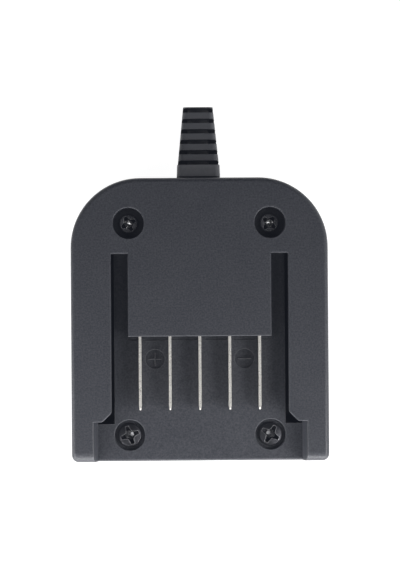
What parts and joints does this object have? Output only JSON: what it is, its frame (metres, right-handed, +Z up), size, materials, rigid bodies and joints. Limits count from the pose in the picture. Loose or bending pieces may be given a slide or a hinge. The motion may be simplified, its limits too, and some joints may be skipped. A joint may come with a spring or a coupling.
{
  "type": "power tool battery charger",
  "caption": "Low charcoal cradle charger: a battery slides in under two ledges onto upright blade contacts, with a slotted strain relief at the rear.",
  "frame": {"origin": "on the resting surface, under the middle of the overall box, strain relief included", "axes": "+X to the right seen from above with the mouth nearest, +Y from the mouth to the cord, +Z up out of the battery bay"},
  "size_m": [0.085, 0.1178, 0.028],
  "materials": {
    "housing_plastic": "fine spark-eroded texture, charcoal",
    "relief_rubber": "satin moulded rubber, charcoal",
    "contact_metal": "nickel plated, slightly pitted",
    "carrier_plastic": "plain moulded",
    "glossy_screw": "glossy black",
    "matte_screw": "matte black",
    "zinc_screw": "zinc plated",
    "board": "green solder mask",
    "fuse": "ceramic body",
    "capacitor_sleeve": "shrink sleeve",
    "ferrite": "bare ferrite",
    "copper_wire": "enamelled copper",
    "component_black": "epoxy moulded",
    "heat_sink_metal": "plain extruded",
    "resistor_body": "coated",
    "foot_rubber": "matte black"
  },
  "bodies": {
    "root": {"top_shell": "housing_plastic", "bottom_shell": "housing_plastic", "strain_relief": "relief_rubber", "terminal_carrier": "carrier_plastic", "upper_screws": "glossy_screw", "lower_screws": "matte_screw", "circuit_board": "board", "board_screws": "zinc_screw", "input_header": "carrier_plastic", "input_fuse": "fuse", "input_capacitor": "capacitor_sleeve", "output_capacitor": "capacitor_sleeve", "inductor_core": "ferrite", "inductor_winding": "copper_wire", "power_transistor": "component_black", "heat_sink": "heat_sink_metal", "heat_sink_screw": "zinc_screw", "rectifier_diode": "component_black", "control_chip": "component_black", "sense_resistor": "resistor_body", "positive_terminal": "contact_metal", "left_sense_terminal": "contact_metal", "middle_terminal": "contact_metal", "right_sense_terminal": "contact_metal", "negative_terminal": "contact_metal", "foot_front_left": "foot_rubber", "foot_front_right": "foot_rubber", "foot_rear_left": "foot_rubber", "foot_rear_right": "foot_rubber"}
  },
  "joints": []
}
